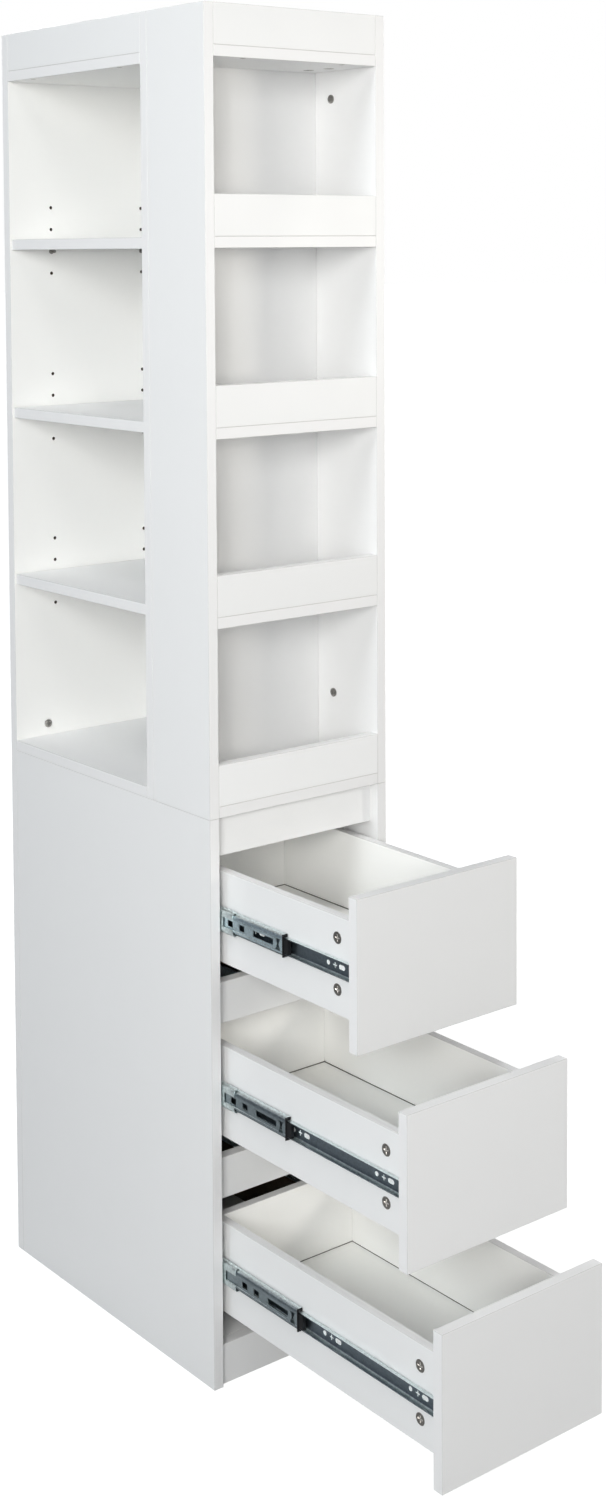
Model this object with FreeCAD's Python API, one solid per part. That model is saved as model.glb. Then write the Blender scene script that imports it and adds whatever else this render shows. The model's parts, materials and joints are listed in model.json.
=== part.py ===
import FreeCAD, Part
import os

# Tower cabinet in millimetres. +Z is up, the front faces -Y, and the origin is on the floor
# in the middle of the back board's underside. The three drawers stand open, as they are at rest.

# Overall carcass
cabinet_width = 303.0
cabinet_depth = 487.0
cabinet_height = 1800.0
board = 15.0
edge_ease = 0.5
overrun = 2.0

# Upper unit: shallow front bays and deep left-hand bays
lower_height = 756.0
front_bay_depth = 125.0
lip_height = 54.0
fascia_height = 53.0
rear_shelf_recess = 3.0
rear_shelf_play = 1.5

# Undersides of the shelves, top one first, as shares of the height between seam and top boards
shelf_shares = [0.752, 0.502, 0.252]

# Lower unit: rails, plinth and the finger gaps over the drawer fronts, top one first
plinth_height = 54.0
plinth_recess = 6.0
rail_height = 55.0
rail_gap = 1.0
top_finger_gap = 39.0
upper_finger_gap = 42.0
lower_finger_gap = 47.0
plinth_gap = 4.0

# Drawers
front_side_gap = 2.0
side_inset = 34.0
side_board = 12.0
drawer_rear_gap = 20.0
bottom_panel = 5.0
bottom_rise = 11.0
groove_depth = 5.0
groove_slack = 1.0
groove_play = 0.5

# Telescopic slides: rolled steel channels nested between drawer and carcass
slide_space = 12.5
slide_height = 35.0
slide_steel = 1.0
cage_steel = 0.7
web_play = 0.4
race_play = 0.9
race_radius = 4.0
middle_race_radius = 6.0
middle_sink = 0.8
middle_land = 0.4
flange_gap = 3.0
flange_stagger = 1.0
slide_front_gap = 2.0
slide_rear_gap = 37.0
inner_front_gap = 1.0
cage_reach = 25.0
cage_length = 160.0
cage_notch_length = 21.0
cage_notch_height = 13.0
guide_reach = 10.0
guide_plate = 1.5
guide_lip = 0.4
guide_root = 14.0
guide_arm = 2.1

# How far each drawer and its middle slide members stand open, as shares of the slide length
drawer_open_shares = [0.665, 0.8825, 1.0275]
middle_open_shares = [0.3775, 0.3875, 0.44]

# Punchings in the middle member, measured back from its front end
stop_slot_start = 4.8
stop_slot_length = 9.6
stop_slot_height = 15.0
stop_slot_waist = 3.0
window_start = 19.0
window_length = 41.0
window_height = 8.0
hatch_start = 77.5
hatch_length = 10.5
hatch_pitch = 24.0
hatch_count = 2

# Fixing holes in the inner member, measured back from its front end
slot_hole_setback = 22.3
cross_hole_setback = 35.0
round_hole_setback = 47.6
hole_group_pitch = 155.0
hole_group_count = 2
hole_diameter = 6.0
slot_length = 11.0
cross_arm = 7.0
cross_width = 1.6

# Shelf pins and their rows of holes
pin_diameter = 5.0
pin_hole_depth = 9.0
pin_tip_gap = 1.0
pin_reach = 9.0
pin_collar_diameter = 7.5
pin_collar = 1.2
pin_inset = 71.0
pin_pitch = 32.0
pin_holes_above = 2
pin_holes_below = 1
fit_play = 0.1

# Cam connectors
cam_diameter = 15.0
cam_depth = 9.5
cam_low_inset = 31.0
cam_high_inset = 27.0
cam_setback = 33.0
cam_slot = 9.0
cam_slot_width = 2.0
cam_slot_depth = 1.5
top_cam_setback = 29.0
top_cam_inset = 36.5

# Screws
screw_shank_diameter = 4.0
screw_length = 35.0
strip_head_diameter = 8.0
strip_head = 2.5
joining_head_diameter = 12.0
joining_head = 2.6
joining_dome = 1.2
joining_crown_diameter = 7.4
recess_arm = 5.0
recess_width = 1.2
recess_depth = 1.4
strip_screw_inset = 53.0
fascia_screw_inset = 58.0
joining_screw_setback = 92.0
joining_screw_drop = 38.0
joining_screw_rise = 96.0
back_screw_inset = 55.0
back_screw_rise = 17.0

# Planes worked out from the sizes above
left = -cabinet_width / 2
right = cabinet_width / 2
back = board / 2
front = back - cabinet_depth
inner_left = left + board
inner_right = right - board
back_face = back - board
divider_front = front + front_bay_depth
divider_back = divider_front + board
lower_floor = lower_height + board
top_underside = cabinet_height - fascia_height - board
top_surface = top_underside + board
shelf_levels = [lower_height + share * (top_underside - lower_height) for share in shelf_shares]
rail_recess = board + rail_gap

# Drawer fronts share the height that the plinth and the finger gaps leave
finger_gaps = [top_finger_gap, upper_finger_gap, lower_finger_gap]
drawer_count = len(finger_gaps)
front_height = (lower_height - plinth_height - plinth_gap - sum(finger_gaps)) / drawer_count
side_height = front_height - 2 * side_inset
drawer_levels = [
    lower_height - sum(finger_gaps[: i + 1]) - front_height * (i + 1) for i in range(drawer_count)
]
drawer_depth = cabinet_depth - board - drawer_rear_gap
side_left = inner_left + slide_space
side_right = inner_right - slide_space

# Slide lengths, and the places of the nested channels across the slide space
slide_length = drawer_depth - board - slide_rear_gap
slide_setback = board + slide_front_gap
middle_setback = slide_setback + guide_reach
middle_length = slide_length - guide_reach
cage_web = slide_steel + web_play
middle_web = cage_web + cage_steel + web_play
guide_web = middle_web + slide_steel
inner_tip = guide_web + middle_sink + web_play
outer_tip = slide_space - flange_gap
cage_tip = outer_tip - flange_stagger
middle_tip = outer_tip + flange_stagger
outer_half = slide_height / 2
cage_half = outer_half - slide_steel - race_play
middle_half = cage_half - cage_steel - race_play
guide_half = middle_half - slide_steel
inner_half = guide_half - guide_arm - web_play
nose_half = inner_half - slide_steel - web_play
nose_tip = slide_space - race_radius
diagonal_share = 0.5 ** 0.5

X = FreeCAD.Vector(1, 0, 0)
Y = FreeCAD.Vector(0, 1, 0)
Z = FreeCAD.Vector(0, 0, 1)
ORIGIN = FreeCAD.Vector(0, 0, 0)


def block(x0, x1, y0, y1, z0, z1):
    """Plain box between two corners."""
    return Part.makeBox(x1 - x0, y1 - y0, z1 - z0, FreeCAD.Vector(x0, y0, z0))


def plank(x0, x1, y0, y1, z0, z1):
    """Board with lightly eased edges."""
    shape = block(x0, x1, y0, y1, z0, z1)
    return shape.makeChamfer(edge_ease, shape.Edges)


def mirrored(shape):
    """The same piece on the other side of the cabinet."""
    return shape.mirror(ORIGIN, X)


def pair(shape):
    """A left-hand piece and its right-hand twin."""
    return [shape, mirrored(shape)]


def cut_all(shape, tools):
    """Shape with every tool taken out of it."""
    return shape.cut(Part.makeCompound(tools)) if tools else shape


# Fasteners


def rod(diameter, length, start, direction):
    """Round bar from a start point along a direction."""
    return Part.makeCylinder(diameter / 2, length, start, direction)


def cross_recess(arm, width, depth, face, direction):
    """Cross-shaped driver recess, sunk from a head's face against the driving direction."""
    bars = []
    for length, breadth in ((arm, width), (width, arm)):
        bar = Part.makeBox(length, breadth, depth, FreeCAD.Vector(-length / 2, -breadth / 2, 0))
        bar.Placement = FreeCAD.Placement(face, FreeCAD.Rotation(Z, direction)).multiply(bar.Placement)
        bars.append(bar)
    return bars[0].fuse(bars[1])


def cam(face, direction):
    """Cam connector, flush with the board's face and sunk along a direction."""
    disc = rod(cam_diameter, cam_depth, face, direction)
    return disc.cut(cross_recess(cam_slot, cam_slot_width, cam_slot_depth, face, direction))


def cam_pocket(face, direction):
    """Round pocket that takes a cam connector."""
    mouth = face - direction * overrun
    return rod(cam_diameter + 2 * fit_play, cam_depth + overrun, mouth, direction)


def strip_screw(face, direction):
    """Screw with its head flush in the board's face."""
    head = rod(strip_head_diameter, strip_head, face, direction)
    shank = rod(screw_shank_diameter, screw_length, face, direction)
    recess = cross_recess(recess_arm, recess_width, recess_depth, face, direction)
    return head.fuse(shank).cut(recess).removeSplitter()


def strip_screw_hole(face, direction):
    """Clearance for a flush screw: counterbore and pilot hole."""
    mouth = face - direction * overrun
    head = rod(strip_head_diameter + 2 * fit_play, strip_head + overrun, mouth, direction)
    shank = rod(screw_shank_diameter + 2 * fit_play, screw_length + fit_play, face, direction)
    return head.fuse(shank)


def joining_screw(face, direction):
    """Pan-head screw whose head sits on the board's face, its point flush with the far side."""
    radius = joining_head_diameter / 2
    seat = face - direction * (joining_head - joining_dome)
    rim = rod(joining_head_diameter, joining_head - joining_dome, seat, direction)
    crown = Part.makeCone(radius, joining_crown_diameter / 2, joining_dome, seat, -direction)
    shank = rod(screw_shank_diameter, board, face, direction)
    top = face - direction * joining_head
    recess = cross_recess(recess_arm, recess_width, recess_depth, top, direction)
    return rim.fuse(crown).fuse(shank).cut(recess).removeSplitter()


def joining_screw_hole(face, direction):
    """Through hole for a pan-head screw."""
    mouth = face - direction * overrun
    return rod(screw_shank_diameter + 2 * fit_play, board + 2 * overrun, mouth, direction)


# Places of the fasteners


def top_cam_places():
    """Cams under the front top board: to the side boards, and to the divider."""
    places = []
    for sign in (-1, 1):
        side = sign * (inner_right - top_cam_setback)
        rear = sign * (inner_right - top_cam_inset)
        places.append(FreeCAD.Vector(side, front + front_bay_depth / 2, top_underside))
        places.append(FreeCAD.Vector(rear, divider_front - top_cam_setback, top_underside))
    return places


def lip_screw_places(underside):
    """Two screws that come up through a front board into the strip on its front edge."""
    side = inner_right - strip_screw_inset
    return [FreeCAD.Vector(sign * side, front + board / 2, underside) for sign in (-1, 1)]


def left_fascia_screw_places():
    """Two screws that come up through the rear top board into the left fascia."""
    middle = left + board / 2
    ends = (divider_back + fascia_screw_inset, back_face - fascia_screw_inset)
    return [FreeCAD.Vector(middle, y, top_underside) for y in ends]


def panel_screw_places():
    """Joining screws on the inner face of the right upper panel, low one first."""
    y = front + joining_screw_setback
    levels = (lower_floor + joining_screw_rise, top_underside - joining_screw_drop)
    return [FreeCAD.Vector(inner_right, y, z) for z in levels]


def back_screw_places():
    """Joining screws on the front face of the back board, over the rear bottom board."""
    side = right - back_screw_inset
    return [FreeCAD.Vector(sign * side, back_face, lower_floor + back_screw_rise) for sign in (-1, 1)]


def pin_places(face, rows):
    """Shelf-pin axes on a board's face: two columns, and rows counted from each shelf's own pins."""
    column = right - pin_inset
    levels = [level - pin_diameter / 2 + pin_pitch * row for level in shelf_levels for row in rows]
    return [FreeCAD.Vector(sign * column, face, level) for level in levels for sign in (-1, 1)]


def pin_holes(face, direction):
    """Rows of blind holes for shelf pins, sunk into a board along a direction."""
    rows = range(-pin_holes_below, pin_holes_above + 1)
    return [rod(pin_diameter, pin_hole_depth, place, direction) for place in pin_places(face, rows)]


def shelf_pin(place, direction):
    """Steel pin: barrel in the board, collar on its face, stub under the shelf."""
    slim = pin_diameter - 2 * fit_play
    start = place - direction * pin_reach
    barrel = rod(slim, pin_reach + pin_hole_depth - pin_tip_gap, start, direction)
    collar = rod(pin_collar_diameter, pin_collar, place - direction * pin_collar, direction)
    return barrel.fuse(collar)


# Carcass


def upper_unit():
    """Boards of the open upper unit."""
    parts = {}
    panel = plank(inner_right, right, front, back_face, lower_height, cabinet_height)
    parts["right_upper_panel"] = cut_all(panel, [joining_screw_hole(p, X) for p in panel_screw_places()])
    divider = plank(left, inner_right, divider_front, divider_back, lower_height, cabinet_height)
    parts["divider"] = cut_all(divider, pin_holes(divider_back, -Y))
    parts["left_post"] = plank(left, inner_left, front, divider_front, lower_height, cabinet_height)

    screws = [strip_screw_hole(p, Z) for p in left_fascia_screw_places()]
    rear_top = plank(left, inner_right, divider_back, back_face, top_underside, top_surface)
    parts["rear_top_board"] = cut_all(rear_top, screws)
    fascia = plank(left, inner_left, divider_back, back_face, top_surface, cabinet_height)
    parts["left_fascia"] = cut_all(fascia, screws)
    parts["rear_bottom_board"] = plank(
        left, inner_right, divider_back, back_face, lower_height, lower_floor
    )
    for i, level in enumerate(shelf_levels):
        parts[f"rear_shelf_{i + 1}"] = plank(
            left + rear_shelf_recess, inner_right - rear_shelf_play,
            divider_back + rear_shelf_play, back_face - rear_shelf_play, level, level + board,
        )

    cams = [cam_pocket(p, Z) for p in top_cam_places()]
    parts.update(strip_on_board("front_top_board", "front_fascia", top_underside, fascia_height, cams))
    for i, level in enumerate(shelf_levels):
        parts.update(strip_on_board(f"front_shelf_{i + 1}", f"shelf_lip_{i + 1}", level, lip_height))
    last_lip = f"shelf_lip_{len(shelf_levels) + 1}"
    parts.update(strip_on_board("front_bottom_board", last_lip, lower_height, lip_height))
    return parts


def strip_on_board(board_name, strip_name, underside, strip_height, cuts=()):
    """Front board with a strip standing on its front edge, held by two screws from below."""
    top = underside + board
    screws = [strip_screw_hole(p, Z) for p in lip_screw_places(underside)]
    flat = plank(inner_left, inner_right, front, divider_front, underside, top)
    strip = plank(inner_left, inner_right, front, front + board, top, top + strip_height)
    return {board_name: cut_all(flat, screws + list(cuts)), strip_name: cut_all(strip, screws)}


def lower_unit():
    """Boards of the lower unit round the drawers."""
    parts = {}
    parts["left_lower_panel"] = plank(left, inner_left, front, back_face, 0, lower_height)
    parts["right_lower_panel"] = plank(inner_right, right, front, back_face, 0, lower_height)
    rail_front = front + rail_recess
    rail_back = rail_front + board
    parts["top_rail"] = plank(
        inner_left, inner_right, rail_front, rail_back, lower_height - rail_height, lower_height
    )
    for i in range(drawer_count - 1):
        middle = drawer_levels[i] - finger_gaps[i + 1] / 2
        parts[f"drawer_rail_{i + 1}"] = plank(
            inner_left, inner_right, rail_front, rail_back,
            middle - rail_height / 2, middle + rail_height / 2,
        )
    plinth_front = front + plinth_recess
    plinth_back = plinth_front + board
    parts["plinth"] = plank(inner_left, inner_right, plinth_front, plinth_back, 0, plinth_height)
    parts["bottom_board"] = plank(
        inner_left, inner_right, plinth_back, back_face, plinth_height - board, plinth_height
    )
    return parts


def back_board():
    """Full-height back board with its rows of shelf-pin holes."""
    shape = plank(left, right, back_face, back, 0, cabinet_height)
    screws = [joining_screw_hole(p, Y) for p in back_screw_places()]
    return cut_all(shape, pin_holes(back_face, Y) + screws)


def carcass_hardware():
    """Shelf pins, and the screws and cams of the boards."""
    pins = [shelf_pin(p, Y) for p in pin_places(back_face, [0])]
    pins += [shelf_pin(p, -Y) for p in pin_places(divider_back, [0])]
    undersides = [lower_height, *shelf_levels, top_underside]
    fasteners = [strip_screw(p, Z) for level in undersides for p in lip_screw_places(level)]
    fasteners += [strip_screw(p, Z) for p in left_fascia_screw_places()]
    fasteners += [joining_screw(p, X) for p in panel_screw_places()]
    fasteners += [joining_screw(p, Y) for p in back_screw_places()]
    fasteners += [cam(p, Z) for p in top_cam_places()]
    return {"shelf_pins": Part.makeCompound(pins), "panel_fasteners": Part.makeCompound(fasteners)}


# Slides


def channel(web, tip, half, steel, radius, y, length, level, sink=0):
    """Rolled steel channel along Y on the left-hand side: web, sunk or flat, raceways and two flanges."""
    way = 1 if tip > web else -1
    bend = web + way * radius
    skin = web + way * steel
    turn = half - radius

    def point(across, up):
        return FreeCAD.Vector(inner_left + across, y, level + up)

    def line(a, b):
        return Part.LineSegment(point(*a), point(*b)).toShape()

    def raceway(sign, curve, a, b):
        middle = (bend - way * curve * diagonal_share, sign * (turn + curve * diagonal_share))
        return Part.Arc(point(*a), point(*middle), point(*b)).toShape()

    def wall(across):
        corners = [(across, -turn), (across, turn)]
        if sink:
            step = turn - middle_land
            floor = across + way * sink
            corners[1:1] = [(across, -step), (floor, sink - step), (floor, step - sink), (across, step)]
        return [line(a, b) for a, b in zip(corners, corners[1:])]

    edges = wall(web) + wall(skin)
    for sign in (1, -1):
        crest = sign * half
        under = sign * (half - steel)
        edges.append(raceway(sign, radius, (web, sign * turn), (bend, crest)))
        edges.append(raceway(sign, radius - steel, (skin, sign * turn), (bend, under)))
        edges.append(line((bend, crest), (tip, crest)))
        edges.append(line((bend, under), (tip, under)))
        edges.append(line((tip, crest), (tip, under)))
    wire = Part.Wire(Part.__sortEdges__(edges))
    return Part.Face(wire).extrude(Y * length)


def web_cut(across, steel, outline):
    """Prism that punches an outline, given as (y, z) points, through a channel's web."""
    start = inner_left + across - overrun
    points = [FreeCAD.Vector(start, y, z) for y, z in outline]
    return Part.Face(Part.makePolygon(points + points[:1])).extrude(X * (steel + 2 * overrun))


def rectangle(y, length, level, height):
    """Corners of an upright rectangle that starts at y and is centred on a level."""
    low = level - height / 2
    high = level + height / 2
    return [(y, low), (y + length, low), (y + length, high), (y, high)]


def outer_member(level):
    """Slide member fixed to the carcass."""
    y = front + slide_setback
    return channel(0, outer_tip, outer_half, slide_steel, race_radius, y, slide_length, level)


def ball_cage(level):
    """Strip that keeps the balls spaced between the outer and middle members, forked at its front."""
    y = front - cage_reach
    shape = channel(cage_web, cage_tip, cage_half, cage_steel, race_radius, y, cage_length, level)
    fork = rectangle(y - overrun, cage_notch_length + overrun, level, cage_notch_height)
    return shape.cut(web_cut(cage_web, cage_steel, fork))


def middle_member(level, y):
    """Middle member with a sunk web, its stop slot, window and hatches, from its front end at y."""
    shape = channel(
        middle_web, middle_tip, middle_half, slide_steel, middle_race_radius, y, middle_length, level,
        middle_sink,
    )
    start = y + stop_slot_start
    end = start + stop_slot_length
    centre = (start + end) / 2
    high = level + stop_slot_height / 2
    low = level - stop_slot_height / 2
    slot = [
        (start, high), (end, high), (centre + stop_slot_waist / 2, level),
        (end, low), (start, low), (centre - stop_slot_waist / 2, level),
    ]
    outlines = [slot, rectangle(y + window_start, window_length, level, window_height)]
    for i in range(hatch_count):
        hatch = y + hatch_start + hatch_pitch * i
        outlines.append(rectangle(hatch, hatch_length, level, window_height))
    depth = slide_steel + middle_sink
    return cut_all(shape, [web_cut(middle_web, depth, outline) for outline in outlines])


def front_guide(level, y):
    """Plastic guide in the mouth of the middle member, whose nose runs inside the inner member."""
    x0 = inner_left + middle_web
    x1 = inner_left + middle_tip
    web_face = inner_left + guide_web
    mouth_start = inner_left + inner_tip - web_play
    nose_end = inner_left + nose_tip
    tall = middle_half + guide_lip
    clear = inner_half + web_play
    plate = block(x0, x1, y - guide_plate, y, level - tall, level + tall)
    mouth = block(mouth_start, x1, y - guide_plate, y, level - clear, level + clear)
    nose = block(web_face, nose_end, y - guide_reach, y, level - nose_half, level + nose_half)
    arms = []
    for sign in (-1, 1):
        low, high = sorted((level + sign * clear, level + sign * guide_half))
        arms.append(block(x0 + middle_race_radius, x1, y, y + guide_root, low, high))
    return plate.cut(mouth).fuse([nose, *arms]).removeSplitter()


def inner_member(level, y):
    """Slide member fixed to the drawer, with its groups of fixing holes, from its front end at y."""
    web = slide_space
    shape = channel(web, inner_tip, inner_half, slide_steel, race_radius, y, slide_length, level)
    mouth = inner_left + web - slide_steel - overrun
    depth = slide_steel + 2 * overrun
    tools = []
    for i in range(hole_group_count):
        start = y + hole_group_pitch * i
        hole = FreeCAD.Vector(mouth, start + round_hole_setback, level)
        tools.append(rod(hole_diameter, depth, hole, X))
        flat = slot_length - hole_diameter
        slot = rectangle(start + slot_hole_setback - flat / 2, flat, level, hole_diameter)
        tools.append(web_cut(web - slide_steel, slide_steel, slot))
        for sign in (-1, 1):
            end = FreeCAD.Vector(mouth, start + slot_hole_setback + sign * flat / 2, level)
            tools.append(rod(hole_diameter, depth, end, X))
        for length, height in ((cross_arm, cross_width), (cross_width, cross_arm)):
            bar = rectangle(start + cross_hole_setback - length / 2, length, level, height)
            tools.append(web_cut(web - slide_steel, slide_steel, bar))
    for tool in tools:
        shape = shape.cut(tool)
    return shape


# Drawers


def drawer(number, level, y):
    """One drawer with the face of its front at y: boards, cams and the inner slide members."""
    box_front = y + board
    box_back = y + drawer_depth
    back_inner = box_back - side_board
    low = level + side_inset
    high = low + side_height
    tray_left = side_left + side_board
    tray_right = side_right - side_board
    panel_low = low + bottom_rise
    panel_high = panel_low + bottom_panel
    groove = block(
        tray_left - groove_depth, tray_right + groove_depth,
        box_front - groove_depth, back_inner + groove_depth, panel_low, panel_high + groove_slack,
    )
    axis = level + front_height / 2
    cam_y = box_front + cam_setback
    cam_levels = [low + cam_low_inset, high - cam_high_inset]
    cam_faces = [FreeCAD.Vector(side_left, cam_y, z) for z in cam_levels]
    pockets = [cam_pocket(face, X) for face in cam_faces]
    cams = [cam(face, X) for face in cam_faces]

    face = plank(
        inner_left + front_side_gap, inner_right - front_side_gap,
        y, box_front, level, level + front_height,
    )
    side = plank(side_left, tray_left, box_front, box_back, low, high)
    side = cut_all(side, [groove, *pockets])
    rear = plank(tray_left, tray_right, back_inner, box_back, low, high)
    reach = groove_depth - groove_play
    panel = block(
        tray_left - reach, tray_right + reach, box_front - reach, back_inner + reach,
        panel_low, panel_high,
    )
    inner = inner_member(axis, box_front + inner_front_gap)
    return {
        f"drawer_front_{number}": face.cut(groove),
        f"drawer_left_side_{number}": side,
        f"drawer_right_side_{number}": mirrored(side),
        f"drawer_back_{number}": rear.cut(groove),
        f"drawer_bottom_{number}": panel,
        f"drawer_cams_{number}": Part.makeCompound([piece for c in cams for piece in pair(c)]),
        f"slide_inner_{number}": Part.makeCompound(pair(inner)),
    }


def slides(number, level, middle_front):
    """Moving slide pieces between one drawer and the carcass."""
    return {
        f"slide_middle_{number}": Part.makeCompound(pair(middle_member(level, middle_front))),
        f"slide_guides_{number}": Part.makeCompound(pair(front_guide(level, middle_front))),
        f"slide_cages_{number}": Part.makeCompound(pair(ball_cage(level))),
    }


def cabinet():
    """Every node of the cabinet by name."""
    parts = {"back_board": back_board()}
    parts.update(upper_unit())
    parts.update(lower_unit())
    parts.update(carcass_hardware())
    outers = []
    for i, level in enumerate(drawer_levels):
        axis = level + front_height / 2
        parts.update(drawer(i + 1, level, front - drawer_open_shares[i] * slide_length))
        middle_front = front + middle_setback - middle_open_shares[i] * slide_length
        parts.update(slides(i + 1, axis, middle_front))
        outers += pair(outer_member(axis))
    parts["slide_outers"] = Part.makeCompound(outers)
    return parts


os.makedirs("parts", exist_ok=True)
for name, shape in cabinet().items():
    shape.exportStep(os.path.join("parts", name + ".step"))
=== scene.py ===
"""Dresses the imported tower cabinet: boards, slides with their balls, fasteners and studio."""
import json
import math

import bpy
from mathutils import Matrix, Vector


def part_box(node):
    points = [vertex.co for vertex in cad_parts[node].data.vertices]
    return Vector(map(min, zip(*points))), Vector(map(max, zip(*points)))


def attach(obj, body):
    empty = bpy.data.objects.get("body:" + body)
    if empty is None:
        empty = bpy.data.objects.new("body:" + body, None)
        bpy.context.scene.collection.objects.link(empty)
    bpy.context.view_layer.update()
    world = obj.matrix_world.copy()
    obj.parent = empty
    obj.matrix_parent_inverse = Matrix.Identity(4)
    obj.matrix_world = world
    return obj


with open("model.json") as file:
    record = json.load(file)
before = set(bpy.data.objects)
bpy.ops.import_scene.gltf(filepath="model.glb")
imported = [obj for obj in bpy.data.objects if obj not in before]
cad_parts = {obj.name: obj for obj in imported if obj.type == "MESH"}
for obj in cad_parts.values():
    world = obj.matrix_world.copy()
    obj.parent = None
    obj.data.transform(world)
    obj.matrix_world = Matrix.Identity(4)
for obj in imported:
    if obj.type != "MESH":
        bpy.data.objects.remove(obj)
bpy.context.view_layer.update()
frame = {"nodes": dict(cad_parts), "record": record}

bl_info = {
    "name": "Tower Cabinet Finishes",
    "version": (1, 0, 0),
    "blender": (4, 5, 0),
    "location": "View3D > Sidebar > Cabinet",
    "description": "Materials, slide balls, light and camera for a tower cabinet with drawers",
    "category": "Object",
}

MILLIMETRE = 0.001
DRAWERS = (1, 2, 3)

# The photograph's frame, in pixels: its size, the camera's focal length and its optical centre
PHOTO_WIDTH = 606
PHOTO_HEIGHT = 1500
FOCAL_PIXELS = 2022
OPTICAL_CENTRE = (217, 367)

# Boards whose melamine is painted darker than the usual face as painted shade, and boards whose
# melamine is painted paler as painted light, by the start of their names
PAINTED_SHADE_BOARDS = (
    "left_post", "left_fascia", "left_lower_panel", "divider", "plinth", "drawer_left_side",
    "drawer_rail", "front_fascia", "shelf_lip_1", "shelf_lip_2", "shelf_lip_3", "drawer_front_1",
)
PAINTED_LIGHT_BOARDS = ("back_board", "rear_top_board", "drawer_right_side", "drawer_back")

# Panels whose side towards the drawers takes the dark core colour deep inside, as painted shade in
# the drawer space, with that side's direction along X
PAINTED_SHADE_PANELS = {"left_lower_panel": 1, "right_lower_panel": -1}

# A board's surface counts as an edge, or as a trimmed corner, below these parts of its normal: the
# part along the thickness for an edge, the largest part along any axis for a corner
EDGE_PART = 0.8
CORNER_PART = 0.9

# Octaves of finer noise in the patches and dimples of a pressed surface, the chips of a board's
# core and the rolling lines of plated metal
PATCH_DETAIL = 3.0
PEEL_DETAIL = 1.0
CHIP_DETAIL = 2.0
LINE_DETAIL = 2.0

# Rolling lines are long along Y: their noise is read from a place squeezed by these shares
LINE_SQUEEZE = (1.0, 0.02, 1.0)

# Ranges: from low, from high, to low, to high. Noise becomes a share of a tone or an addition to
# roughness, and a part of a normal becomes a mask.
MOTTLE_GLOSS = (0.0, 1.0, -0.05, 0.05)
CHIP_TONES = (0.3, 0.7, 0.6, 1.3)
PLATE_TONES = (0.4, 1.6, 0.78, 1.15)
PLATE_GLOSS = (0.0, 1.0, -0.08, 0.1)
# The flange mask lays a lighter tone as a painted highlight where a surface turns from X; the under
# mask lays painted shade where it turns down
FLANGE_MASK = (0.72, 0.86, 1.0, 0.0)
UNDER_MASK = (-0.15, -0.5, 0.0, 1.0)

# The stage, in metres: its middle on the floor under the open drawers, the height that the lamps
# aim at, and how far the floor goes to each side
CENTRE = Vector((0.0, -0.45, 0.0))
AIM_HEIGHT = 1.5
FLOOR_REACH = 60.0
WHITE = (1.0, 1.0, 1.0, 1.0)

# Soft boxes: tint, turn from the front in degrees, then distance, height and side in metres
SOFT_BOXES = {
    "Key": ((1.0, 1.0, 0.985), -47, 4.0, 2.1, 1.4),
    "Side": ((1.0, 1.0, 0.985), -52, 4.0, 1.3, 1.4),
    "Left": ((0.80, 0.92, 1.0), -85, 5.0, 4.2, 1.5),
    "Top": ((1.0, 1.0, 0.98), -70, 2.2, 5.0, 1.5),
    "Overhead": ((1.0, 0.98, 0.90), 20, 1.6, 4.6, 1.5),
    "Right": ((1.0, 0.97, 0.90), 44, 3.2, 1.5, 0.7),
    "Back": ((1.0, 1.0, 1.0), 170, 4.6, 3.6, 1.5),
}

# Kinds of socket, and where a Mix node keeps its sockets for colours: mask, below, above, result
VECTOR, COLOUR, NUMBER = "NodeSocketVector", "NodeSocketColor", "NodeSocketFloat"
MIX_INPUTS = (0, 6, 7)
MIX_RESULT = 2


# Settings


def colour(name, description, value):
    """Property for a surface colour in linear light."""
    return bpy.props.FloatVectorProperty(
        name=name, description=description, subtype="COLOR", size=3, min=0, max=1, default=value
    )


def length(name, description, millimetres):
    """Property for a length."""
    return bpy.props.FloatProperty(
        name=name, description=description, unit="LENGTH", min=0, precision=5,
        default=millimetres * MILLIMETRE,
    )


def factor(name, description, value):
    """Property for a share between nothing and all."""
    return bpy.props.FloatProperty(
        name=name, description=description, subtype="FACTOR", min=0, max=1, default=value
    )


def power(name, watts):
    """Property for a lamp's power."""
    return bpy.props.FloatProperty(
        name=name, description="Power of this soft box", unit="POWER", min=0, default=watts
    )


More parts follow.
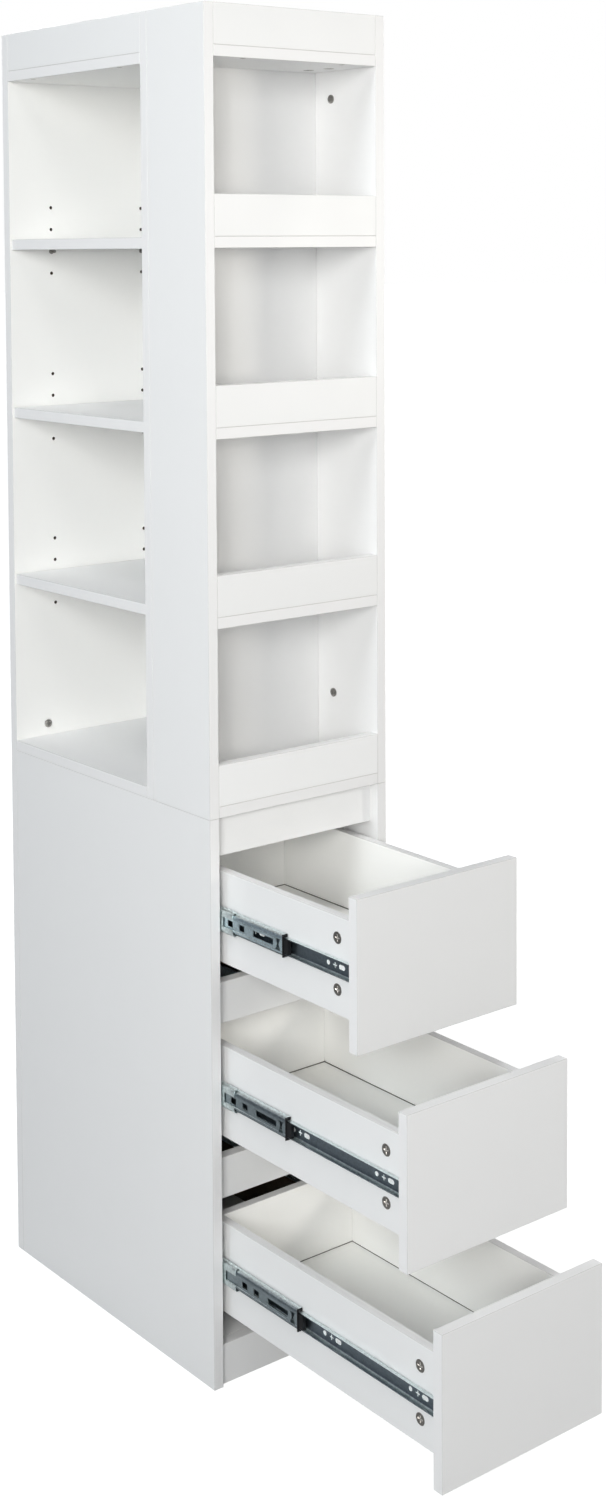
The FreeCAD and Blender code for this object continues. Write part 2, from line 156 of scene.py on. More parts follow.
class CabinetBoards(bpy.types.PropertyGroup):
    """Finish of the melamine boards, their edge bands and the drawer bottoms."""

    face: colour("Face", "Melamine face of most boards", (0.885, 0.885, 0.882))
    # Deep face and pale face are the same melamine, painted darker as painted shade and paler as
    # painted light on the boards listed above
    painted_shade_face: colour("Deep face", "Melamine of the boards from a deeper lot", (0.84, 0.84, 0.836))
    painted_light_face: colour("Pale face", "Melamine of the boards from a paler lot", (0.985, 0.98, 0.955))
    band: colour("Edge band", "Edge bands of the boards", (0.835, 0.83, 0.828))
    # Painted shade: the trim colour darkens the trimmed corners to draw the shade of the seams
    # between boards
    painted_seam_shade: colour("Trim", "Trimmed corners between faces and edge bands", (0.64, 0.63, 0.62))
    # Core: raw particle board, but darkened to near black as painted shade in holes and grooves; on
    # the lower panels' inner sides deep in the drawer space it is painted shade alone
    core: colour(
        "Core", "Particle board inside holes and grooves and on bare sides", (0.085, 0.06, 0.04)
    )
    # Painted shade: from here back, the lower panels' inner sides take the dark core colour
    painted_shade_start: length(
        "Bare start", "From the lower panels' front edges to where their inner sides are bare", 110
    )
    panel: colour("Panel", "Thin panels in the drawer bottoms", (0.97, 0.965, 0.935))
    joint: colour("Joint", "Dust and shade in the joint round the thin panels", (0.14, 0.125, 0.11))
    joint_reach: bpy.props.FloatVectorProperty(
        name="Joint reach", unit="LENGTH", size=3, precision=5,
        description="From each thin panel's edge in its groove to the end of the dark joint",
        default=[reach * MILLIMETRE for reach in (5.7, 5.6, 5.0)],
    )
    shade: factor("Shade", "Tone of the deeper patches in a face, as a share of it", 0.984)
    skin: length("Skin", "Depth at which a hole or groove shows the core", 0.45)
    chip: length("Chip", "Width of the chips in the core", 1.6)
    peel: length("Peel", "Width of the dimples pressed into the melamine", 1.1)
    patch: length("Patch", "Width of the faint patches in the melamine", 70)
    relief: length("Relief", "Depth of the dimples", 0.012)
    roughness: factor("Roughness", "Roughness of the melamine", 0.42)


class CabinetMetals(bpy.types.PropertyGroup):
    """Finish of the slides and fasteners."""

    zinc: colour("Zinc", "Webs of the outer and first middle slide members", (0.65, 0.79, 0.84))
    # Painted shade: the lower middle members are the same zinc as the first, painted darker
    painted_shade_zinc: colour("Deep zinc", "Webs of the lower middle members", (0.30, 0.355, 0.38))
    # Painted shade: the inner members' webs, recessed between their flanges, are painted darker
    # than the other members
    inner_painted_shade_zinc: colour("Inner zinc", "Webs of the inner slide members", (0.18, 0.215, 0.245))
    # Painted highlight: flanges and bends are painted lighter than the webs, on the balls and cages
    # too
    flange_highlight: colour("Race", "Plate on the flanges, polished by the balls", (0.78, 0.86, 0.86))
    # Painted shade: the middle members' bends that face down are painted dark
    under: colour(
        "Underside", "Dull plate on the bends of the middle members that face the floor",
        (0.11, 0.14, 0.15),
    )
    bright_zinc: colour("Bright zinc", "Plate on the ball cages", (0.68, 0.76, 0.76))
    nickel: colour("Nickel", "Plate on the heads of screws", (0.27, 0.26, 0.245))
    # Painted highlight: rims and shelf pins are painted lighter than the screw heads
    nickel_rim_highlight: colour("Nickel rim", "Plate on rims and shelf pins", (0.42, 0.405, 0.38))
    cast: colour("Cast zinc", "Bare faces of the cams in the drawer sides", (0.29, 0.275, 0.255))
    # Painted highlight: the cams' rims and slot bottoms are painted much lighter than their faces
    cast_highlight: colour("Cast rim", "Rims and slots of the cams", (0.85, 0.83, 0.80))
    cast_skin: length("Cast skin", "Depth at which a cam's slot shows the bright metal", 0.3)
    ball: colour("Ball", "Hardened steel balls", (0.62, 0.63, 0.65))
    crystal: length("Crystal", "Size of the crystals in the zinc plate", 2.2)
    draw_line: length("Draw line", "Width of the rolling lines along the slides", 0.5)
    relief: length("Relief", "Depth of the rolling lines", 0.02)
    roughness: factor("Roughness", "Roughness of the plate", 0.36)


class CabinetPlastic(bpy.types.PropertyGroup):
    """Finish of the moulded slide guides."""

    tone: colour("Plastic", "Moulded guides", (0.006, 0.006, 0.007))
    sheen: colour("Plastic sheen", "Rubbed patches on the guides", (0.014, 0.0145, 0.016))
    patch: length("Patch", "Width of the rubbed patches", 4.5)
    grain: length("Grain", "Width of the moulded grain", 0.45)
    relief: length("Relief", "Depth of the grain", 0.03)
    specular: factor("Specular", "Strength of the plastic's reflections", 0.2)
    roughness: factor("Roughness", "Roughness of the plastic", 0.48)


class CabinetBalls(bpy.types.PropertyGroup):
    """Rows of balls held in the slides' cages."""

    diameter: length("Diameter", "Diameter of a ball", 2.3)
    pitch: length("Pitch", "Distance between neighbouring balls", 9.0)
    setback: length("Setback", "From the cage's front end to its first ball", 6.0)
    inset: length("Inset", "From the cage's web to the line of the balls", 5.4)
    depth: length("Depth", "From the cage's crest down to the line of the balls", 0.35)
    count: bpy.props.IntProperty(name="Count", description="Balls in one row", min=1, default=17)
    cuts: bpy.props.IntProperty(
        name="Cuts", description="Times that a ball's faces are divided", min=1, default=2
    )


class CabinetStudio(bpy.types.PropertyGroup):
    """Studio light, floor and camera."""

    key_power: power("Key", 41.5)
    side_power: power("Side", 12.5)
    left_power: power("Left", 26)
    top_power: power("Top", 20)
    overhead_power: power("Overhead", 8)
    right_power: power("Right", 13.5)
    back_power: power("Back", 45)
    room: colour("Room", "Even light from the room round the stage", (0.16, 0.167, 0.187))
    beam: bpy.props.FloatProperty(
        name="Beam", description="Spread of the soft boxes", subtype="ANGLE",
        default=math.radians(120),
    )
    floor: colour("Floor", "Pale floor", (0.50, 0.50, 0.50))
    floor_roughness: factor("Floor roughness", "Roughness of the floor", 0.9)
    floor_lift: factor(
        "Floor lift", "How far the floor by the cabinet is lifted to white where it is seen", 0.83
    )
    floor_near: length("Floor near", "Round the cabinet, where the lift begins to grow", 900)
    floor_far: length("Floor far", "Round the cabinet, where the floor is all white", 2400)
    camera_place: bpy.props.FloatVectorProperty(
        name="Camera", description="Place of the lens", subtype="TRANSLATION", unit="LENGTH",
        size=3, default=(-1.6865, -2.5265, 1.487),
    )
    camera_turn: bpy.props.FloatVectorProperty(
        name="Camera turn", description="Yaw to the right of +Y, pitch down, roll", subtype="EULER",
        size=3, default=[math.radians(angle) for angle in (37.17, 3.3, -0.45)],
    )
    sensor: length("Sensor", "Long side of the camera's sensor", 36)


# Node trees


class Tree:
    """Short way to add and join nodes in one tree. Values are numbers, colours or sockets."""

    def __init__(self, tree):
        self.tree = tree

    def add(self, kind, **attributes):
        """New node of a kind, with its attributes set."""
        node = self.tree.nodes.new(kind)
        for name, value in attributes.items():
            setattr(node, name, value)
        return node

    def feed(self, socket, value):
        """Join a socket to an input, or set the input to another value."""
        if isinstance(value, bpy.types.NodeSocket):
            self.tree.links.new(value, socket)
        else:
            socket.default_value = value

    def fill(self, node, **values):
        """Feed a node's inputs by their names, with _ for a space."""
        for name, value in values.items():
            self.feed(node.inputs[name.replace("_", " ")], value)
        return node

    def math(self, operation, *values):
        """Result of an operation on numbers."""
        node = self.add("ShaderNodeMath", operation=operation)
        for socket, value in zip(node.inputs, values):
            self.feed(socket, value)
        return node.outputs["Value"]

    def vectors(self, operation, *values, output="Vector"):
        """Result of an operation on vectors."""
        node = self.add("ShaderNodeVectorMath", operation=operation)
        for socket, value in zip(node.inputs, values):
            self.feed(socket, value)
        return node.outputs[output]

    def scaled(self, vector, share):
        """A vector or colour times a number."""
        node = self.add("ShaderNodeVectorMath", operation="SCALE")
        return self.fill(node, Vector=vector, Scale=share).outputs["Vector"]

    def parts(self, vector):
        """A vector's parts along X, Y and Z."""
        return self.fill(self.add("ShaderNodeSeparateXYZ"), Vector=vector).outputs

    def extreme(self, operation, numbers):
        """The smallest or the largest of some numbers."""
        result, *others = numbers
        for number in others:
            result = self.math(operation, result, number)
        return result

    def ranged(self, value, limits):
        """A number mapped from one range to another."""
        low, high, to_low, to_high = limits
        node = self.add("ShaderNodeMapRange")
        self.fill(node, Value=value, From_Min=low, From_Max=high, To_Min=to_low, To_Max=to_high)
        return node.outputs["Result"]

    def noise(self, place, width, detail):
        """Noise whose features have a width."""
        node = self.add("ShaderNodeTexNoise")
        self.fill(node, Vector=place, Scale=self.math("DIVIDE", 1.0, width), Detail=detail)
        return node.outputs["Fac"]

    def over(self, below, above, mask):
        """One colour laid over another where a mask is one."""
        node = self.add("ShaderNodeMix", data_type="RGBA")
        for index, value in zip(MIX_INPUTS, (mask, below, above)):
            self.feed(node.inputs[index], value)
        return node.outputs[MIX_RESULT]


def group_tree(name, inputs, outputs):
    """Empty shader group with its sockets: its tree, what it is given and its output node."""
    tree = bpy.data.node_groups.new(name, "ShaderNodeTree")
    for socket, kind in inputs.items():
        tree.interface.new_socket(socket, in_out="INPUT", socket_type=kind)
    for socket, kind in outputs.items():
        tree.interface.new_socket(socket, in_out="OUTPUT", socket_type=kind)
    work = Tree(tree)
    return work, work.add("NodeGroupInput").outputs, work.add("NodeGroupOutput")


def rgba(value):
    """A colour property as the four numbers that a socket takes."""
    return (*value, 1.0)


def depths(work, given):
    """How far a place lies inside a piece's box along X, Y and Z."""
    above_low = work.vectors("SUBTRACT", given["Vector"], given["Low"])
    below_high = work.vectors("SUBTRACT", given["High"], given["Vector"])
    return work.parts(work.vectors("MINIMUM", above_low, below_high))


def mottle_group(name):
    """Pressed surface: faint patches of two tones, small dimples and uneven gloss."""
    work, given, result = group_tree(
        name,
        {
            "Vector": VECTOR, "Tone": COLOUR, "Shade": COLOUR, "Patch": NUMBER, "Peel": NUMBER,
            "Roughness": NUMBER,
        },
        {"Color": COLOUR, "Height": NUMBER, "Roughness": NUMBER},
    )
    patches = work.noise(given["Vector"], given["Patch"], PATCH_DETAIL)
    work.fill(
        result,
        Color=work.over(given["Tone"], given["Shade"], patches),
        Height=work.noise(given["Vector"], given["Peel"], PEEL_DETAIL),
        Roughness=work.math("ADD", given["Roughness"], work.ranged(patches, MOTTLE_GLOSS)),
    )
    return work.tree


def section_group(name):
    """Coated board: banded edges, trimmed corners darkened as painted shade of the seams, and its
    core, darkened as painted shade, where the skin is cut or left out.
    """
    work, given, result = group_tree(
        name,
        {
            "Vector": VECTOR, "Normal": VECTOR, "Thickness": VECTOR, "Low": VECTOR, "High": VECTOR,
            "Skin": NUMBER, "Chip": NUMBER, "Face": COLOUR, "Band": COLOUR, "Trim": COLOUR,
            "Core": COLOUR,
        },
        {"Color": COLOUR},
    )
    facing = work.vectors("DOT_PRODUCT", given["Normal"], given["Thickness"], output="Value")
    edge = work.math("LESS_THAN", work.math("ABSOLUTE", facing), EDGE_PART)
    coat = work.over(given["Face"], given["Band"], edge)

    # Trimmed corners take the trim colour, painted shade of the seams between boards
    largest = work.extreme("MAXIMUM", work.parts(work.vectors("ABSOLUTE", given["Normal"])))
    corner = work.math("LESS_THAN", largest, CORNER_PART)
    coat = work.over(coat, given["Trim"], corner)

    # The core colour shows as painted shade in holes and grooves and on the lower panels' inner
    # sides
    chips = work.noise(given["Vector"], given["Chip"], CHIP_DETAIL)
    core = work.scaled(given["Core"], work.ranged(chips, CHIP_TONES))
    depth = work.extreme("MINIMUM", depths(work, given))
    inside = work.math("GREATER_THAN", depth, given["Skin"])
    work.fill(result, Color=work.over(coat, core, inside))
    return work.tree


def margin_group(name):
    """Another colour within reach of the sides of a piece's box across X and Y."""
    work, given, result = group_tree(
        name,
        {
            "Vector": VECTOR, "Low": VECTOR, "High": VECTOR, "Reach": NUMBER, "Inside": COLOUR,
            "Margin": COLOUR,
        },
        {"Color": COLOUR},
    )
    depth = depths(work, given)
    nearest = work.math("MINIMUM", depth["X"], depth["Y"])
    close = work.math("LESS_THAN", nearest, given["Reach"])
    work.fill(result, Color=work.over(given["Inside"], given["Margin"], close))
    return work.tree


def plate_group(name):
    """Plated metal: rolling lines and crystals, a painted highlight where it turns from X and
    painted shade where it turns down.
    """
    work, given, result = group_tree(
        name,
        {
            "Vector": VECTOR, "Normal": VECTOR, "Web": COLOUR, "Flange": COLOUR, "Under": COLOUR,
            "Crystal": NUMBER, "Line": NUMBER, "Roughness": NUMBER,
        },
        {"Color": COLOUR, "Height": NUMBER, "Roughness": NUMBER},
    )
    squeezed = work.vectors("MULTIPLY", given["Vector"], LINE_SQUEEZE)
    lines = work.noise(squeezed, given["Line"], LINE_DETAIL)
    cells = work.add("ShaderNodeTexVoronoi")
    work.fill(cells, Vector=given["Vector"], Scale=work.math("DIVIDE", 1.0, given["Crystal"]))
    grey = work.add("ShaderNodeRGBToBW")
    crystals = work.fill(grey, Color=cells.outputs["Color"]).outputs["Val"]

    normal = work.parts(given["Normal"])
    # Painted highlight where the surface turns from X, painted shade where it turns down
    turned = work.ranged(work.math("ABSOLUTE", normal["X"]), FLANGE_MASK)
    tone = work.over(given["Web"], given["Flange"], turned)
    tone = work.over(tone, given["Under"], work.ranged(normal["Z"], UNDER_MASK))
    shade = work.ranged(work.math("ADD", lines, crystals), PLATE_TONES)
    work.fill(
        result,
        Color=work.scaled(tone, shade),
        Height=lines,
        Roughness=work.math("ADD", given["Roughness"], work.ranged(crystals, PLATE_GLOSS)),
    )
    return work.tree


GROUPS = {
    "Pressed mottle": mottle_group,
    "Board section": section_group,
    "Margin": margin_group,
    "Plated metal": plate_group,
}


# Materials


def new_material(name):
    """Material with one Principled shader: its tree, the shader and Object coordinates."""
    material = bpy.data.materials.new(name)
    material.use_nodes = True
    work = Tree(material.node_tree)
    shader = material.node_tree.nodes["Principled BSDF"]
    place = work.add("ShaderNodeTexCoord").outputs["Object"]
    return material, work, shader, place


def use_group(work, name, **values):
    """Place a shader group in a material, made on its first use, and give its outputs."""
    tree = bpy.data.node_groups.get(name) or GROUPS[name](name)
    return work.fill(work.add("ShaderNodeGroup", node_tree=tree), **values).outputs


def surface_normal(work):
    """The normal of the surface in the scene."""
    return work.add("ShaderNodeNewGeometry").outputs["Normal"]


def finish(work, shader, tone, surface, relief, **values):
    """Join a tone, a surface's gloss and its relief to the shader."""
    bump = work.add("ShaderNodeBump")
    work.fill(bump, Height=surface["Height"], Distance=relief, Strength=1.0)
    work.fill(
        shader, Base_Color=tone, Roughness=surface["Roughness"], Normal=bump.outputs["Normal"],
        **values,
    )


def plain_words(node):
    """A node's name as words."""
    return node.replace("_", " ")


def board_face(settings, node):
    """Melamine of a board: the usual face, a darker copy as painted shade, or a paler copy as
    painted light.
    """
    if node.startswith(PAINTED_SHADE_BOARDS):
        return settings.painted_shade_face
    if node.startswith(PAINTED_LIGHT_BOARDS):
        return settings.painted_light_face
    return settings.face


def thickness(node):
    """Direction in which a board is thinnest."""
    low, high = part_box(node)
    sides = [high[i] - low[i] for i in range(3)]
    thinnest = sides.index(min(sides))
    return [1.0 if i == thinnest else 0.0 for i in range(3)]


def coated_box(settings, node):
    """Box of a board's coated skin. A lower panel's inner side is left well inside it from the
    painted shade start back, so that it takes the core colour as painted shade.
    """
    low, high = [list(corner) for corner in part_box(node)]
    side = PAINTED_SHADE_PANELS.get(node)
    if side:
        corner = high if side > 0 else low
        corner[0] += 2 * side * settings.skin
        low[1] += settings.painted_shade_start
    return low, high


def melamine(settings, work, place, tone):
    """Pressed white surface in a tone."""
    return use_group(
        work, "Pressed mottle", Vector=place, Tone=rgba(tone), Shade=rgba(tone * settings.shade),
        Patch=settings.patch, Peel=settings.peel, Roughness=settings.roughness,
    )


def board_material(settings, node):
    """White melamine on one board, with banded edges and its core in holes and grooves."""
    material, work, shader, place = new_material(f"White melamine, {plain_words(node)}")
    surface = melamine(settings, work, place, board_face(settings, node))
    low, high = coated_box(settings, node)
    section = use_group(
        work, "Board section", Vector=place, Normal=surface_normal(work), Thickness=thickness(node),
        Low=low, High=high, Skin=settings.skin, Chip=settings.chip, Face=surface["Color"],
        Band=rgba(settings.band), Trim=rgba(settings.painted_seam_shade), Core=rgba(settings.core),
    )
    finish(work, shader, section["Color"], surface, settings.relief)
    return material


def panel_material(settings, node, reach):
    """Thin white panel of one drawer bottom, with a dark joint where it enters its grooves."""
    material, work, shader, place = new_material(f"White panel, {plain_words(node)}")
    surface = melamine(settings, work, place, settings.panel)
    low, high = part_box(node)
    joint = use_group(
        work, "Margin", Vector=place, Low=low, High=high, Reach=reach, Inside=surface["Color"],
        Margin=rgba(settings.joint),
    )
    finish(work, shader, joint["Color"], surface, settings.relief)
    return material


def plate_material(settings, name, web, flange, under=None, cam=None):
    """Plated or cast metal with a tone for webs, a lighter tone for flanges and rims as a painted
    highlight, and a tone for what faces the floor, dark as painted shade on the middle members.

    A cam shows the tone of its rim in its slot too, as a painted highlight.
    """
    material, work, shader, place = new_material(name)
    surface = use_group(
        work, "Plated metal", Vector=place, Normal=surface_normal(work), Web=rgba(web),
        Flange=rgba(flange), Under=rgba(under or flange), Crystal=settings.crystal,
        Line=settings.draw_line, Roughness=settings.roughness,
    )
    tone = surface["Color"]
    if cam:
        low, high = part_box(cam)
        tone = use_group(
            work, "Margin", Vector=place, Low=low, High=high, Reach=settings.cast_skin,
            Inside=rgba(flange), Margin=tone,
        )["Color"]
    finish(work, shader, tone, surface, settings.relief, Metallic=1.0)
    return material


def plastic_material(settings):
    """Black moulded plastic of the slide guides."""
    material, work, shader, place = new_material("Black guide plastic")
    surface = use_group(
        work, "Pressed mottle", Vector=place, Tone=rgba(settings.tone), Shade=rgba(settings.sheen),
        Patch=settings.patch, Peel=settings.grain, Roughness=settings.roughness,
    )
    finish(
        work, shader, surface["Color"], surface, settings.relief,
        Specular_IOR_Level=settings.specular,
    )
    return material


# Pieces


def nodes_of(slot):
    """Names of the CAD nodes that take one material slot of the record."""
    return [part["node"] for part in frame["record"]["subparts"] if part["material_slot"] == slot]


def paint(node, material):
    """Give a CAD node one material."""
    mesh = frame["nodes"][node].data
    mesh.materials.clear()
    mesh.materials.append(material)


def paint_slot(slot, material):
    """Give one material to every CAD node that takes a slot."""
    for node in nodes_of(slot):
        paint(node, material)


class CABINET_OT_boards(bpy.types.Operator):
    """Dress the boards of the carcass and the drawers"""

    bl_idname = "cabinet.boards"
    bl_label = "Boards"

    def execute(self, context):
        settings = context.scene.cabinet_boards
        for node in nodes_of("white_board"):
            paint(node, board_material(settings, node))
        for node, reach in zip(nodes_of("white_panel"), settings.joint_reach):
            paint(node, panel_material(settings, node, reach))
        return {"FINISHED"}


class CABINET_OT_slides(bpy.types.Operator):
    """Dress the steel members, cages and plastic guides of the drawer slides"""

    bl_idname = "cabinet.slides"
    bl_label = "Slides"

    def execute(self, context):
        metals = context.scene.cabinet_metals
        flange_highlight, under = metals.flange_highlight, metals.under
        outer = plate_material(metals, "Zinc plate", metals.zinc, flange_highlight)
        # The inner members take the darker zinc, painted shade of their recessed webs
        inner = plate_material(metals, "Zinc plate, inner members", metals.inner_painted_shade_zinc, flange_highlight)
        # The middle members take painted shade where they face down
        first = plate_material(
            metals, "Zinc plate, first middle members", metals.zinc, flange_highlight, under
        )
        # The lower middle members take the darker zinc, painted shade
        lower = plate_material(
            metals, "Zinc plate, lower middle members", metals.painted_shade_zinc, flange_highlight, under
        )
        for node in nodes_of("zinc_steel"):
            if node.startswith("slide_inner"):
                paint(node, inner)
            elif node == "slide_middle_1":
                paint(node, first)
            elif node.startswith("slide_middle"):
                paint(node, lower)
            else:
                paint(node, outer)
        paint_slot(
            "bright_zinc", plate_material(metals, "Bright zinc plate", metals.bright_zinc, flange_highlight)
        )
        paint_slot("black_plastic", plastic_material(context.scene.cabinet_plastic))
        return {"FINISHED"}


class CABINET_OT_fasteners(bpy.types.Operator):
    """Dress the screws, shelf pins and cam connectors"""

    bl_idname = "cabinet.fasteners"
    bl_label = "Fasteners"

    def execute(self, context):
        metals = context.scene.cabinet_metals
        # Screws and pins take a painted highlight where they turn from X
        nickel = plate_material(metals, "Nickel plate", metals.nickel, metals.nickel_rim_highlight)
        paint_slot("nickel_steel", nickel)
        # Cams take a painted highlight on their rims and in their slots
        for node in nodes_of("zinc_die_cast"):
            name = f"Cast zinc, {plain_words(node)}"
            paint(node, plate_material(metals, name, metals.cast, metals.cast_highlight, cam=node))
        return {"FINISHED"}


def ball_rows_tree(material):
    """Geometry Nodes that set a row of balls on every point of a mesh, and their inputs' keys."""
    tree = bpy.data.node_groups.new("Ball rows", "GeometryNodeTree")
    face = tree.interface
    face.new_socket("Geometry", in_out="INPUT", socket_type="NodeSocketGeometry")
    kinds = {"Count": "NodeSocketInt", "Pitch": NUMBER, "Radius": NUMBER, "Cuts": "NodeSocketInt"}
    keys = {
        name: face.new_socket(name, in_out="INPUT", socket_type=kind).identifier
        for name, kind in kinds.items()
    }
    face.new_socket("Geometry", in_out="OUTPUT", socket_type="NodeSocketGeometry")
    work = Tree(tree)
    given = work.add("NodeGroupInput").outputs
    step = work.fill(work.add("ShaderNodeCombineXYZ"), Y=given["Pitch"])
    row = work.add("GeometryNodeMeshLine")
    work.fill(row, Count=given["Count"], Offset=step.outputs["Vector"])
    ball = work.add("GeometryNodeMeshIcoSphere")
    work.fill(ball, Radius=given["Radius"], Subdivisions=given["Cuts"])
    smooth = work.add("GeometryNodeSetShadeSmooth")
    work.fill(smooth, Geometry=ball.outputs["Mesh"])
    balls = work.add("GeometryNodeInstanceOnPoints")
    work.fill(balls, Points=row.outputs["Mesh"], Instance=smooth.outputs["Geometry"])
    rows = work.add("GeometryNodeInstanceOnPoints")
    work.fill(rows, Points=given["Geometry"], Instance=balls.outputs["Instances"])
    real = work.add("GeometryNodeRealizeInstances")
    work.fill(real, Geometry=rows.outputs["Instances"])
    dressed = work.add("GeometryNodeSetMaterial")
    work.fill(dressed, Geometry=real.outputs["Geometry"], Material=material)
    work.fill(work.add("NodeGroupOutput"), Geometry=dressed.outputs["Geometry"])
    return tree, keys


def plain_mesh(seed, name):
    """Turn a seed object with a Geometry Nodes modifier into a plain mesh, and drop the seed."""
    bpy.context.view_layer.update()
    graph = bpy.context.evaluated_depsgraph_get()
    mesh = bpy.data.meshes.new_from_object(seed.evaluated_get(graph), depsgraph=graph)
    bpy.data.objects.remove(seed)
    piece = bpy.data.objects.new(name, mesh)
    bpy.context.scene.collection.objects.link(piece)
    return piece


class CABINET_OT_balls(bpy.types.Operator):
    """Set rows of steel balls into the cages of the slides"""

    bl_idname = "cabinet.balls"
    bl_label = "Slide balls"

    def execute(self, context):
        settings = context.scene.cabinet_balls
        metals = context.scene.cabinet_metals
        tree, keys = ball_rows_tree(plate_material(metals, "Ball steel", metals.ball, metals.flange_highlight))
        values = {
            "Count": settings.count, "Pitch": settings.pitch, "Radius": settings.diameter / 2,
            "Cuts": settings.cuts,
        }
        for number in DRAWERS:
            low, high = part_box(f"slide_cages_{number}")
            starts = [
                (x, low[1] + settings.setback, z)
                for x in (low[0] + settings.inset, high[0] - settings.inset)
                for z in (low[2] + settings.depth, high[2] - settings.depth)
            ]
            mesh = bpy.data.meshes.new("Ball starts")
            mesh.from_pydata(starts, [], [])
            seed = bpy.data.objects.new("Ball starts", mesh)
            context.scene.collection.objects.link(seed)
            rows = seed.modifiers.new("Ball rows", "NODES")
            rows.node_group = tree
            for name, value in values.items():
                rows[keys[name]] = value
            piece = plain_mesh(seed, f"slide_balls_{number}")
            if not piece.data.vertices:
                raise RuntimeError(f"no balls were made for drawer {number}")
            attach(piece, f"slide_cage_pair_{number}")
        return {"FINISHED"}


# Stage


def camera_ray(work):
    """One where the camera looks straight at a surface, nothing for light that bounces."""
    return work.add("ShaderNodeLightPath").outputs["Is Camera Ray"]


def floor_material(settings):
    """Pale floor that keeps the shadow and is lifted to white where the camera sees it."""
    material, work, shader, place = new_material("Pale floor")
    work.fill(
        shader, Base_Color=rgba(settings.floor), Roughness=settings.floor_roughness,
        Specular_IOR_Level=0.0,
    )
    away = work.vectors("DISTANCE", place, CENTRE, output="Value")
    lift = work.ranged(away, (settings.floor_near, settings.floor_far, settings.floor_lift, 1.0))
    glow = work.add("ShaderNodeEmission")
    work.fill(glow, Strength=work.math("MULTIPLY", camera_ray(work), lift))
    both = work.add("ShaderNodeAddShader")
    work.feed(both.inputs[0], shader.outputs["BSDF"])
    work.feed(both.inputs[1], glow.outputs["Emission"])
    work.fill(material.node_tree.nodes["Material Output"], Surface=both.outputs["Shader"])
    return material


def floor_plane(settings):
    """Large square floor."""
    mesh = bpy.data.meshes.new("Floor")
    reach = FLOOR_REACH
    corners = [(-reach, -reach, 0), (reach, -reach, 0), (reach, reach, 0), (-reach, reach, 0)]
    mesh.from_pydata(corners, [], [(0, 1, 2, 3)])
    mesh.materials.append(floor_material(settings))
    floor = bpy.data.objects.new("Floor", mesh)
    bpy.context.scene.collection.objects.link(floor)
    return floor


def white_world(settings):
    """World that the camera sees as white, and that is an even soft room light elsewhere."""
    world = bpy.data.worlds.new("White studio")
    world.use_nodes = True
    work = Tree(world.node_tree)
    tone = work.over(rgba(settings.room), WHITE, camera_ray(work))
    work.fill(world.node_tree.nodes["Background"], Color=tone)
    bpy.context.scene.world = world


def soft_box(name, watts, beam, tint, turn, distance, height, side):
    """Square soft box placed by its turn round the cabinet, aimed at the upper shelves."""
    lamp = bpy.data.lights.new(name, "AREA")
    lamp.energy = watts
    lamp.color = tint
    lamp.shape = "SQUARE"
    lamp.size = side
    lamp.spread = beam
    box = bpy.data.objects.new(name, lamp)
    bpy.context.scene.collection.objects.link(box)
    angle = math.radians(turn)
    place = Vector((distance * math.sin(angle), -distance * math.cos(angle), height))
    box.location = CENTRE + place
    aim = CENTRE + Vector((0, 0, AIM_HEIGHT)) - box.location
    box.rotation_euler = aim.to_track_quat("-Z", "Y").to_euler()


def photo_camera(settings):
    """Camera at the photograph's place and angle, with its frame shifted as the photograph's is."""
    yaw, pitch, roll = settings.camera_turn
    ahead = Vector((
        math.sin(yaw) * math.cos(pitch), math.cos(yaw) * math.cos(pitch), -math.sin(pitch)
    ))
    level = Vector((math.cos(yaw), -math.sin(yaw), 0.0))
    upright = level.cross(ahead)
    right = math.cos(roll) * level + math.sin(roll) * upright
    up = -math.sin(roll) * level + math.cos(roll) * upright
    data = bpy.data.cameras.new("Photo camera")
    data.sensor_width = settings.sensor / MILLIMETRE
    data.lens = FOCAL_PIXELS / PHOTO_HEIGHT * data.sensor_width
    data.shift_x = (PHOTO_WIDTH / 2 - OPTICAL_CENTRE[0]) / PHOTO_HEIGHT
    data.shift_y = (OPTICAL_CENTRE[1] - PHOTO_HEIGHT / 2) / PHOTO_HEIGHT
    camera = bpy.data.objects.new("Photo camera", data)
    bpy.context.scene.collection.objects.link(camera)
    turn = Matrix((right, up, -ahead)).transposed().to_4x4()
    camera.matrix_world = Matrix.Translation(settings.camera_place) @ turn
    bpy.context.scene.camera = camera


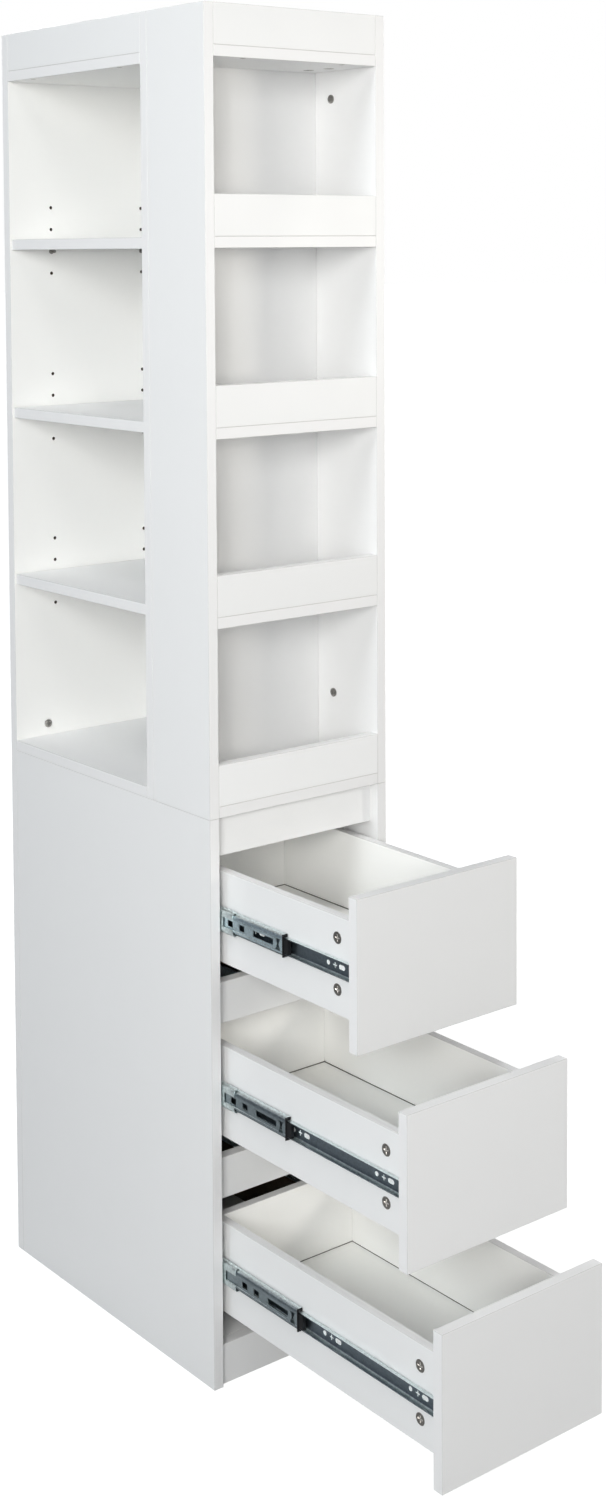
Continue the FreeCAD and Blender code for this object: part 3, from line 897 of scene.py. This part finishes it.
class CABINET_OT_stage(bpy.types.Operator):
    """Set up the floor, the soft boxes, the white background and the camera"""

    bl_idname = "cabinet.stage"
    bl_label = "Stage"

    def execute(self, context):
        settings = context.scene.cabinet_studio
        floor = floor_plane(settings)
        for name, place in SOFT_BOXES.items():
            watts = getattr(settings, f"{name.lower()}_power")
            soft_box(f"{name} box", watts, settings.beam, *place)
        white_world(settings)
        photo_camera(settings)
        context.scene.view_settings.view_transform = "Standard"
        return {"FINISHED"}


# Add-on

SETTINGS = {
    "cabinet_boards": CabinetBoards,
    "cabinet_metals": CabinetMetals,
    "cabinet_plastic": CabinetPlastic,
    "cabinet_balls": CabinetBalls,
    "cabinet_studio": CabinetStudio,
}
OPERATORS = (
    CABINET_OT_boards, CABINET_OT_slides, CABINET_OT_fasteners, CABINET_OT_balls, CABINET_OT_stage
)


class CABINET_PT_sidebar(bpy.types.Panel):
    """Lists the cabinet's pieces and settings"""

    bl_idname = "CABINET_PT_sidebar"
    bl_label = "Tower cabinet"
    bl_space_type = "VIEW_3D"
    bl_region_type = "UI"
    bl_category = "Cabinet"

    def draw(self, context):
        for operator in OPERATORS:
            self.layout.operator(operator.bl_idname)
        for name, group in SETTINGS.items():
            box = self.layout.box()
            for setting in group.__annotations__:
                box.prop(getattr(context.scene, name), setting)


CLASSES = (*SETTINGS.values(), *OPERATORS, CABINET_PT_sidebar)


def register():
    """Register the classes and hang the settings on the scene."""
    for item in CLASSES:
        bpy.utils.register_class(item)
    for name, group in SETTINGS.items():
        setattr(bpy.types.Scene, name, bpy.props.PointerProperty(type=group))


def unregister():
    """Take the settings and the classes away again."""
    for name in SETTINGS:
        delattr(bpy.types.Scene, name)
    for item in reversed(CLASSES):
        bpy.utils.unregister_class(item)


def main():
    """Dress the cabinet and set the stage."""
    register()
    bpy.ops.cabinet.boards()
    bpy.ops.cabinet.slides()
    bpy.ops.cabinet.fasteners()
    bpy.ops.cabinet.balls()
    bpy.ops.cabinet.stage()


if __name__ == "__main__":
    main()
